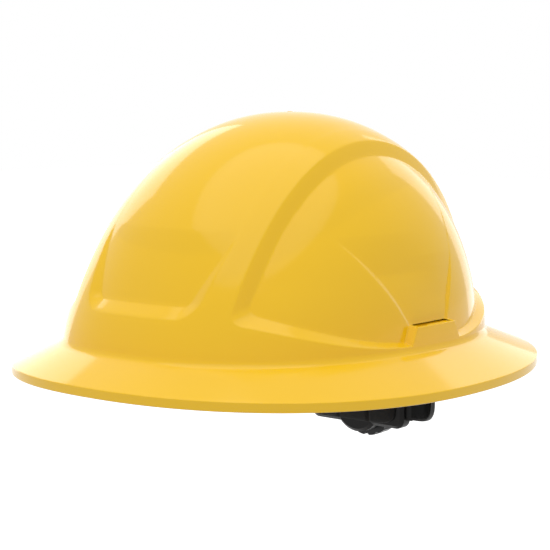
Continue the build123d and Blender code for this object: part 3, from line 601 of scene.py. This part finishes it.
def refineCrown(turn, angle, triangles):
    # cuts edges in half wherever the sunk crown bends away from them
    for _ in range(shellMesh["passes"]):
        ends = np.concatenate([triangles[:, [0, 1]], triangles[:, [1, 2]], triangles[:, [2, 0]]])
        ends.sort(axis=1)
        edges, index = np.unique(ends, axis=0, return_inverse=True)
        edgeOf = index.reshape(3, -1).T
        points = crownSunk(turn, angle)
        midTurn, midAngle = turn[edges].mean(axis=1), angle[edges].mean(axis=1)
        ideal = crownSunk(midTurn, midAngle)
        first, second = points[edges[:, 0]], points[edges[:, 1]]
        error = np.linalg.norm(ideal - (first + second) / 2, axis=1)
        length = np.linalg.norm(first - second, axis=1)
        marked = (error > shellMesh["bend"]) & (length > shellMesh["shortest"])
        triangles = splitEdges(marked, triangles, edgeOf, len(turn))
        turn = np.concatenate([turn, midTurn[marked]])
        angle = np.concatenate([angle, midAngle[marked]])
    return turn, angle, triangles


def brimRings(turn, wall):
    # rings from the lip's inner edge, out and up the brim to the rounded foot of the crown
    edge, lip = shell["edgeRadius"], shell["rimLip"]
    rings = [rimRing(turn, inset, 0) for inset in (shell["lipWall"], shell["lipWall"] / 2)]
    for angle in np.linspace(0, math.pi / 2, shellMesh["arcPoints"]):
        rings.append(rimRing(turn, edge * (1 - math.sin(angle)), edge * (1 - math.cos(angle))))
    for share in shellMesh["lipShares"]:
        rings.append(rimRing(turn, 0, edge + (lip - 2 * edge) * share))
    for angle in np.linspace(0, math.radians(shellMesh["lipArc"]), shellMesh["arcPoints"])[1:]:
        rings.append(rimRing(turn, edge * (1 - math.cos(angle)), lip - edge + edge * math.sin(angle)))
    start = rings[-1]
    foot = crownPlain(turn, 0 * turn)
    slope = np.linalg.norm(foot - start, axis=1, keepdims=True)
    inner = foot + (start - foot) * shell["filletReach"] / slope
    for share in np.linspace(0, 1, shellMesh["brimPoints"])[1:]:
        rings.append(start + (inner - start) * share)
    for share in np.linspace(0, 1, shellMesh["filletPoints"])[1:-1]:
        rings.append((1 - share) ** 2 * inner + 2 * share * (1 - share) * foot + share**2 * wall)
    return np.array(rings)


def gridFaces(rows, columns):
    row = np.arange(rows - 1)[:, None] * columns
    column = np.arange(columns - 1)[None, :]
    quads = [row + column, row + column + 1, row + columns + column + 1, row + columns + column]
    return np.stack(quads, axis=-1).reshape(-1, 4)


def makeShellSkin():
    columns = shellMesh["columns"] + 1
    turn = np.linspace(0, 2 * math.pi, columns)
    level = shell["filletReach"] / (shell["domeHeight"] - shell["footHeight"])
    lowest = math.asin(level ** shell["levelPower"])
    angles = np.linspace(lowest, math.pi / 2, shellMesh["crownRows"])
    plainCrown = np.array([crownPlain(turn, np.full_like(turn, angle)) for angle in angles])
    brim = brimRings(turn, plainCrown[0])
    quads = gridFaces(len(angles), columns)
    triangles = np.concatenate([quads[:, [0, 1, 2]], quads[:, [0, 2, 3]]])
    crownTurn, crownAngle = np.tile(turn, len(angles)), np.repeat(angles, columns)
    crownTurn, crownAngle, triangles = refineCrown(crownTurn, crownAngle, triangles)
    crown = crownSunk(crownTurn, crownAngle)
    normals = crownNormals(crownTurn, crownAngle)
    centre = crown[triangles].mean(axis=1)
    inSlot = (np.abs(centre[:, 0]) > slot["inner"]) & (np.abs(centre[:, 0]) < slot["outer"])
    inSlot &= np.abs(centre[:, 1] - slot["middle"]) < slot["halfWidth"]
    inSlot &= np.abs(centre[:, 2] - sidePanel["tabTop"]) < slot["mouth"]
    triangles = triangles[~inSlot]
    brimQuads = gridFaces(len(brim), columns)
    brimPoints = brim.reshape(-1, 3)
    across = np.gradient(brim, axis=1)
    across[:, 0] = across[:, -1] = brim[:, 1] - brim[:, -2]
    brimNormals = np.cross(across, np.gradient(brim, axis=0)).reshape(-1, 3)
    brimNormals /= np.linalg.norm(brimNormals, axis=1, keepdims=True)
    base = len(brimPoints)
    bridge = np.arange(columns - 1)
    bridgeQuads = np.stack([bridge + base - columns, bridge + base - columns + 1, bridge + base + 1,
                            bridge + base], 1)
    faces = brimQuads.tolist() + bridgeQuads.tolist() + (triangles + base).tolist()
    points = np.concatenate([brimPoints, crown]) * mm
    skin = linkMesh("shellSkin", points, faces, finishes["yellowShell"])
    skin.data.normals_split_custom_set_from_vertices(np.concatenate([brimNormals, normals]).tolist())
    print("skin", len(skin.data.vertices), len(skin.data.polygons))
    plain = np.concatenate([brimPoints, plainCrown.reshape(-1, 3)]) * mm
    plainFaces = brimQuads.tolist() + bridgeQuads.tolist() + (quads + base).tolist()
    return skin, BVHTree.FromPolygons(plain.tolist(), plainFaces)


insideCut = {
    "tabSlack": 0.2, "lipFacing": -0.3, "nearLow": 2.4, "nearHigh": 6.9, "nearFacing": -0.25,
    "far": 8, "farFacing": 0.3, "aimHeight": 60, "downFacing": -0.3, "rayGap": 0.2, "sharpAngle": 35,
}


def makeShellInside(plain):
    # the solid shell's own inner faces: cavity, key sockets and slot housings
    mesh = nodes["shell"].data.copy()
    setPoints(mesh, bendToSaddle(pointsOf(mesh) / mm) * mm)
    work = bmesh.new()
    work.from_mesh(mesh)
    solid = BVHTree.FromBMesh(work)
    gone = []
    for face in work.faces:
        centre = face.calc_center_median()
        x, y, z = (value / mm for value in centre)
        acrossSlot = slot["inner"] - slot["slack"] < abs(x) < slot["outer"] + slot["slack"]
        alongSlot = abs(y - slot["middle"]) < slot["halfWidth"] + slot["slack"]
        if acrossSlot and alongSlot and z < sidePanel["tabTop"] + insideCut["tabSlack"]:
            continue
        out = Vector((x, y, 0)).normalized()
        if z < shell["rimLip"] and face.normal.dot(out) < insideCut["lipFacing"]:
            continue
        _, normal, _, distance = plain.find_nearest(centre)
        facing = face.normal.dot(normal)
        near = insideCut["nearHigh" if z > sidePanel["tabTop"] else "nearLow"]
        outer = distance < near * mm and facing > insideCut["nearFacing"]
        outer = outer or (distance < insideCut["far"] * mm and facing > insideCut["farFacing"])
        if z > shell["socketTop"]:
            # an outer face has the wall between it and the middle of the hat
            level = insideCut["aimHeight"] * mm if face.normal.z > insideCut["downFacing"] else 0
            way = Vector((0, 0, level)) - centre
            start = centre + way.normalized() * insideCut["rayGap"] * mm
            outer = solid.ray_cast(start, way.normalized(), way.length)[0] is not None
        if outer:
            gone.append(face)
    bmesh.ops.delete(work, geom=gone, context="FACES")
    work.to_mesh(mesh)
    work.free()
    inside = bpy.data.objects.new("shellInside", mesh)
    bpy.context.scene.collection.objects.link(inside)
    setMaterial(inside, finishes["yellowShell"])
    mesh.polygons.foreach_set("use_smooth", [True] * len(mesh.polygons))
    mesh.set_sharp_from_angle(angle=math.radians(insideCut["sharpAngle"]))
    return inside


# Straps, pads and bending arms: closed tubes of rings
def tubePiece(name, rings, material):
    # rings of points in millimetres, closed round and capped; the UV map is in metres
    rows, columns = rings.shape[:2]
    points = np.concatenate([rings.reshape(-1, 3), rings[[0, -1]].mean(axis=1)]) * mm
    faces, uvs = [], []
    widths = np.linalg.norm(np.roll(rings, -1, axis=1) - rings, axis=2).max(axis=0) * mm
    across = np.concatenate([[0], np.cumsum(widths)])
    steps = np.linalg.norm(np.diff(rings.mean(axis=1), axis=0), axis=1) * mm
    along = np.concatenate([[0], np.cumsum(steps)])
    for row in range(rows - 1):
        for column in range(columns):
            follow = (column + 1) % columns
            first, second = row * columns, (row + 1) * columns
            faces.append((first + column, first + follow, second + follow, second + column))
            uvs += [(across[column], along[row]), (across[column + 1], along[row]),
                    (across[column + 1], along[row + 1]), (across[column], along[row + 1])]
    for end, row in enumerate((0, rows - 1)):
        for column in range(columns):
            follow = (column + 1) % columns
            corners = (row * columns + column, row * columns + follow, rows * columns + end)
            faces.append(corners[::-1] if end == 0 else corners)
            edge = [(across[column], along[row]), (across[column + 1], along[row])]
            tip = (across[column], along[row])
            uvs += [tip, *edge[::-1]] if end == 0 else [*edge, tip]
    piece = linkMesh(name, points, faces, material)
    layer = piece.data.uv_layers.new(name="weave")
    layer.data.foreach_set("uv", np.array(uvs).ravel())
    work = bmesh.new()
    work.from_mesh(piece.data)
    bmesh.ops.recalc_face_normals(work, faces=work.faces)
    work.to_mesh(piece.data)
    work.free()
    return piece


def bandSection(half, low, high, radius, flat=5, arc=5):
    # a rounded oblong: each point's place across its thickness, then across its width
    # the inner points come a second time after the last corner, and the section crosses itself there
    bottom, top = low + radius, high - radius
    inner = [(-half, value) for value in np.linspace(top, bottom, flat + 2)[1:-1]]
    outer = [(half, value) for value in np.linspace(bottom, top, flat + 2)[1:-1]]
    corners = (
        (1, top, 0, []), (-1, top, 90, inner), (-1, bottom, 180, []), (1, bottom, 270, inner + outer),
    )
    points = []
    for side, wide, start, follow in corners:
        for angle in np.radians(np.linspace(start, start + 90, arc)):
            out, along = radius * math.cos(angle), radius * math.sin(angle)
            points.append((side * (half - radius) + out, wide + along))
        points += follow
    return np.array(points)


def bakeModifiers(piece):
    bpy.context.view_layer.update()
    baked = bpy.data.meshes.new_from_object(piece.evaluated_get(bpy.context.evaluated_depsgraph_get()))
    piece.modifiers.clear()
    piece.data = baked


# What the three cushions share: the cloth run, and the section they have before it
cushion = {
    "quality": 5, "mass": 0.15, "pressure": 4, "frames": 20, "share": 0.7, "columns": 36,
    "backing": 0.06, "facePower": 0.6, "taperPower": 8,
}


def puffUp(piece, pinned, cap):
    # cloth under pressure; pinned points stay and no point moves more than the cap
    start = pointsOf(piece.data)
    group = piece.vertex_groups.new(name="sewn")
    group.add([int(index) for index in np.nonzero(pinned)[0]], 1, "REPLACE")
    cloth = piece.modifiers.new("puff", "CLOTH")
    cloth.settings.quality = cushion["quality"]
    cloth.settings.mass = cushion["mass"]
    cloth.settings.use_pressure = True
    cloth.settings.uniform_pressure_force = cushion["pressure"]
    cloth.settings.vertex_group_mass = "sewn"
    cloth.settings.effector_weights.gravity = 0
    for frameNumber in range(1, cushion["frames"] + 1):
        bpy.context.scene.frame_set(frameNumber)
    puffed = piece.evaluated_get(bpy.context.evaluated_depsgraph_get())
    move = pointsOf(puffed.data) - start
    piece.modifiers.clear()
    piece.vertex_groups.clear()
    bpy.context.scene.frame_set(1)
    length = np.linalg.norm(move, axis=1, keepdims=True)
    print("puffed", piece.name, round(float(length.max()) / mm, 2))
    setPoints(piece.data, start + np.nan_to_num(move) * np.minimum(1, cap * mm / (length + 1e-12)))
    piece.modifiers.new("finer", "SUBSURF").levels = 1
    bakeModifiers(piece)


def groove(distance, width):
    return np.exp(-((distance / width) ** 2))


# Crown straps: a leg, a half oval over the head and a leg, in two standing planes
strap = {
    "halfSpan": 108.05, "knee": 12, "rise": (96, 98.4), "wall": 1.3, "halfWidth": 9.5, "foot": -4.8,
    "along": (0.6355, -0.7721), "middle": (1.858, -0.116), "edge": 0.5, "legRows": 22, "archRows": 150,
    "hem": 1.15, "hemSlack": 0.1, "hemHeight": 3.6, "hemFade": 0.8, "tipHeight": 1.2, "tipShare": 0.25,
}


def makeStrap(name, side, rise):
    along = np.array([strap["along"][0] * side, strap["along"][1], 0])
    middle = np.array([-strap["middle"][0] * side, strap["middle"][1], 0])
    leg = np.linspace(strap["foot"], strap["knee"], strap["legRows"])[:-1]
    turn = np.linspace(0, math.pi, strap["archRows"])
    span, top = strap["halfSpan"], rise + strap["wall"] / 2
    place = np.concatenate([np.full_like(leg, span), span * np.cos(turn), np.full_like(leg, -span)])
    height = np.concatenate([leg, strap["knee"] + top * np.sin(turn), leg[::-1]])
    centres = middle + place[:, None] * along + height[:, None] * np.array([0, 0, 1])
    way = np.gradient(centres, axis=0)
    way /= np.linalg.norm(way, axis=1, keepdims=True)
    wide = np.cross(along, (0, 0, 1))
    thin = np.cross(way, wide)
    section = bandSection(strap["wall"] / 2, -strap["halfWidth"], strap["halfWidth"], strap["edge"])
    rings = []
    for centre, out, z in zip(centres, thin, height):
        hem = np.clip((strap["foot"] + strap["hemHeight"] - z) / strap["hemFade"], 0, 1)
        swell = 1 + (strap["hem"] / strap["wall"] * 2 - strap["hemSlack"]) * hem
        tip = np.clip((z - strap["foot"]) / strap["tipHeight"], strap["tipShare"], 1) if hem else 1
        rings.append(centre + section[:, :1] * swell * tip * out + section[:, 1:] * wide)
    return tubePiece(name, np.array(rings), finishes["blackWebbing"])


# Crown pad: a domed round cushion under the crossing, sewn along two lines each way
crownPad = {
    "bend": 118.7, "top": 107.4, "back": -0.116, "radius": 32.6, "thickness": 5, "tip": 0.06,
    "rows": 44, "columns": 40, "sewn": 0.5, "swell": 1.4, "least": 0.05,
    "seam": 11, "seamWidth": 1.1, "seamPull": 0.45,
}


def padSection(columns=cushion["columns"]):
    # a cushion's section: a flat backing and a crowned face, as shares of width and thickness
    angle = np.linspace(0, 2 * math.pi, columns, endpoint=False)
    wide = np.cos(angle)
    face = np.abs(np.sin(angle)) ** cushion["facePower"]
    thick = np.where(np.sin(angle) > 0, face, cushion["backing"] * np.sin(angle))
    return wide, thick


def crownPadTop(x, y):
    reach = np.hypot(x, y - crownPad["back"])
    return crownPad["top"] - crownPad["bend"] + np.sqrt(crownPad["bend"] ** 2 - reach**2)


def makeCrownPad():
    wide, thick = padSection(crownPad["columns"])
    tip = crownPad["tip"]
    rings = []
    for turn in np.linspace(tip, math.pi - tip, crownPad["rows"]):
        x = -crownPad["radius"] * math.cos(turn)
        half = crownPad["radius"] * math.sin(turn)
        y = crownPad["back"] + half * wide
        depth = cushion["share"] * crownPad["thickness"] * math.sin(turn) ** 0.5
        z = crownPadTop(x, y) - depth * (thick + cushion["backing"])
        rings.append(np.stack([np.full_like(y, x), y, z], axis=1))
    piece = tubePiece("crownPad", np.array(rings), finishes["facedFoam"])
    points = pointsOf(piece.data) / mm
    sewn = crownPadTop(points[:, 0], points[:, 1]) - points[:, 2] < crownPad["sewn"]
    puffUp(piece, sewn, crownPad["swell"])
    points = pointsOf(piece.data) / mm
    backing = crownPadTop(points[:, 0], points[:, 1])
    seams = np.minimum(abs(abs(points[:, 0]) - crownPad["seam"]),
                       abs(abs(points[:, 1] - crownPad["back"]) - crownPad["seam"]))
    depth = np.maximum(backing - points[:, 2], crownPad["least"])
    pull = crownPad["seamPull"] * groove(seams, crownPad["seamWidth"])
    points[:, 2] = backing - depth * (1 - pull)
    setPoints(piece.data, points * mm)
    return piece


# Brow sweatband: a long cushion inside the front of the headband
sweatband = {
    "halfWidth": 73.6, "halfLength": 91.6, "middle": -9, "rear": -24, "low": -8, "high": 28,
    "thickness": 4, "rows": 110, "taperSpan": 0.02, "least": 0.05, "sewn": 0.3, "swell": 1.1,
    "studs": [(52.8, -73.4), (-52.8, -73.4)], "studHeight": 10, "studDip": 2.1, "studRadius": 4.6,
    "studRise": 1.9, "studFar": 12, "faceShare": 0.2, "faceDip": 0.5,
    "seam": 4, "seamWidth": 1, "seamPull": 0.6, "edgeFade": 60,
}


def makeSweatband():
    wide, thick = padSection()
    half = (sweatband["high"] - sweatband["low"]) / 2
    height = (sweatband["high"] + sweatband["low"]) / 2 + half * wide
    end = math.acos((sweatband["middle"] - sweatband["rear"]) / sweatband["halfLength"])
    rings = []
    for turn in np.linspace(-end, end, sweatband["rows"]):
        x = sweatband["halfWidth"] * math.sin(turn)
        y = sweatband["middle"] - sweatband["halfLength"] * math.cos(turn)
        inward = -np.array([math.sin(turn) / sweatband["halfWidth"],
                            -math.cos(turn) / sweatband["halfLength"]])
        inward /= np.linalg.norm(inward)
        taper = (1 - (abs(turn) / (end + sweatband["taperSpan"])) ** cushion["taperPower"]) ** 0.5
        full = cushion["share"] * sweatband["thickness"] * taper
        depth = full * np.maximum(thick, 0) + sweatband["least"]
        dip = np.zeros_like(depth)
        for spot in sweatband["studs"]:
            away = np.hypot(math.hypot(x - spot[0], y - spot[1]), height - sweatband["studHeight"])
            share = np.clip(sweatband["studRise"] - away / sweatband["studRadius"], 0, 1)
            dip = np.maximum(dip, sweatband["studDip"] * share * (away < sweatband["studFar"]))
        reach = depth + np.where(thick > sweatband["faceShare"], sweatband["faceDip"], 1) * dip
        rings.append(np.stack([x + inward[0] * reach, y + inward[1] * reach, height], axis=1))
    piece = tubePiece("browSweatband", np.array(rings), finishes["brushedTerry"])
    backing = np.zeros(len(piece.data.vertices), bool)
    backing[: len(rings) * len(wide)] = np.tile(thick < sweatband["sewn"], len(rings))
    backing[-2:] = True
    puffUp(piece, backing, sweatband["swell"])
    points = pointsOf(piece.data) / mm
    middle = np.array([0, sweatband["middle"]])
    along = (points[:, 1] - middle[1]) / sweatband["halfLength"]
    level = np.hypot(points[:, 0] / sweatband["halfWidth"], along)
    edges = np.minimum(points[:, 2] - sweatband["low"], sweatband["high"] - points[:, 2])
    pull = sweatband["seamPull"] * groove(edges - sweatband["seam"], sweatband["seamWidth"])
    pull *= np.clip((1 - level) * sweatband["edgeFade"], 0, 1)
    points[:, :2] = middle + (points[:, :2] - middle) * (1 + (1 - level) * pull)[:, None]
    setPoints(piece.data, points * mm)
    return piece


# Nape pad: a cushion on the head's side of the ratchet, sewn across in two places
napePad = {
    "halfWidth": 30.8, "halfHeight": 9.8, "back": 75.1, "thickness": 3.9, "height": -36, "rows": 60,
    "endTurn": 1.5, "outline": (5, 0.35), "sewn": 0.3, "swell": 1.1, "seam": 11.5, "seamWidth": 1.1,
    "seamPull": 0.6,
}


def makeNapePad():
    wide, thick = padSection()
    power, root = napePad["outline"]
    rings = []
    for share in np.sin(np.linspace(-napePad["endTurn"], napePad["endTurn"], napePad["rows"])):
        outline = (1 - abs(share) ** power) ** root
        z = napePad["height"] + napePad["halfHeight"] * outline * wide
        taper = (1 - abs(share) ** cushion["taperPower"]) ** 0.5
        full = cushion["share"] * napePad["thickness"] * taper
        x = np.full_like(z, share * napePad["halfWidth"])
        rings.append(np.stack([x, napePad["back"] - full * np.maximum(thick, 0), z], axis=1))
    piece = tubePiece("napePad", np.array(rings), finishes["facedFoam"])
    sewn = napePad["back"] - pointsOf(piece.data)[:, 1] / mm < napePad["sewn"]
    puffUp(piece, sewn, napePad["swell"])
    points = pointsOf(piece.data) / mm
    depth = np.clip(napePad["back"] - points[:, 1], 0, napePad["thickness"])
    pull = napePad["seamPull"] * groove(abs(points[:, 0]) - napePad["seam"], napePad["seamWidth"])
    points[:, 1] = napePad["back"] - depth * (1 - pull)
    setPoints(piece.data, points * mm)
    return piece


# Nape arms: they bend where they run out of the housing
arm = {
    "middle": 77.5, "wall": 2.4, "bendBack": 24, "endReach": 40.5, "endBack": 80, "edge": 0.6,
    "eye": (15, 8), "eyeRadius": 9, "eyeStart": 0.05, "eyeRows": 16, "straightRows": 8, "bendRows": 72,
    "flat": 9, "sharpAngle": 40, "fade": 0.4,
    "foot": ((10.5, -1), (62, -25), (82.4, -42)), "top": ((19.5, 17), (62, -10), (82.4, -30)),
}


def armEdge(back, points):
    # a smooth edge through three points, level at both ends
    (x0, z0), (x1, z1), (x2, z2) = points
    first, second = x1 - x0, x2 - x1
    slope = 1.5 * ((z1 - z0) / first**2 + (z2 - z1) / second**2) / (1 / first + 1 / second)
    low = back < x1
    start, span = (x0, first) if low else (x1, second)
    share = np.clip((back - start) / span, 0, 1)
    ends = (z0, z1) if low else (z1, z2)
    slopes = (0, slope) if low else (slope, 0)
    square, cube = share**2, share**3
    return (ends[0] * (2 * cube - 3 * square + 1) + ends[1] * (3 * square - 2 * cube)
            + span * (slopes[0] * (cube - 2 * square + share) + slopes[1] * (cube - square)))


def makeArm(name, side):
    back, height = arm["eye"]
    radius = arm["eyeRadius"]
    turns = np.linspace(arm["eyeStart"], math.pi / 2, arm["eyeRows"])
    straight = [back - radius * math.cos(turn) for turn in turns]
    straight += list(np.linspace(back, arm["bendBack"], arm["straightRows"])[1:-1])
    path = [(arm["middle"], y, 1, 0) for y in straight]
    reach, length = arm["middle"] - arm["endReach"], arm["endBack"] - arm["bendBack"]
    for turn in np.linspace(0, math.pi / 2, arm["bendRows"]):
        outward = np.array([math.cos(turn) / reach, math.sin(turn) / length])
        outward /= np.linalg.norm(outward)
        x, y = arm["endReach"] + reach * math.cos(turn), arm["bendBack"] + length * math.sin(turn)
        path.append((x, y, *outward))
    rings = []
    for x, y, outX, outY in path:
        inEye = math.sqrt(max(0, radius**2 - (y - back) ** 2))
        low, high = height - inEye, height + inEye
        if y > arm["foot"][0][0]:
            low = min(low, armEdge(y, arm["foot"]))
        if y >= arm["bendBack"]:
            high = armEdge(y, arm["top"])
        elif y > arm["top"][0][0]:
            high = max(high, armEdge(y, arm["top"]))
        section = bandSection(arm["wall"] / 2, low, high, arm["edge"], arm["flat"])
        thin, wide = section[:, 0], section[:, 1]
        rings.append(np.stack([side * (x + thin * outX), y + thin * outY, wide], axis=1))
    piece = tubePiece(name, np.array(rings), finishes["blackNylon"])
    piece.data.set_sharp_from_angle(angle=math.radians(arm["sharpAngle"]))
    return piece


addCamera()
addStudio()
print("stage: studio")

skin, plain = makeShellSkin()
inside = makeShellInside(plain)
for piece in (skin, inside):
    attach(piece, "hat")
    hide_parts("shell")
print("stage: shell")

straps = (("crown_strap_under", 1), ("crown_strap_over", -1))
for (name, side), rise in zip(straps, strap["rise"]):
    piece = makeStrap("woven_" + name, side, rise)
    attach(piece, "hat")
    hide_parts(name)
print("stage: straps")

pads = (
    ("crown_pad", makeCrownPad(), "foam", "hat"),
    ("brow_sweatband", makeSweatband(), "sweatband", "hat"),
    ("nape_pad", makeNapePad(), "foam", "ratchet"),
)
for name, piece, label, body in pads:
    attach(piece, body)
    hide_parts(name)
print("stage: pads")

for side, word in ((1, "left"), (-1, "right")):
    piece = makeArm("bendingArm_" + word, side)
    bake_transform(piece)
    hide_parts("nape_arm_" + word)
print("stage: arms")

solidFinish = {"suspension": "blackNylon", "ratchet": "blackNylon", "knob": "blackKnob",
               "gear": "greyAcetal", "plated_steel": "zincPlate"}
for entry in frame["record"]["subparts"]:
    if entry["material_slot"] in solidFinish:
        setMaterial(nodes[entry["node"]], finishes[solidFinish[entry["material_slot"]]])
print("stage: finishes")
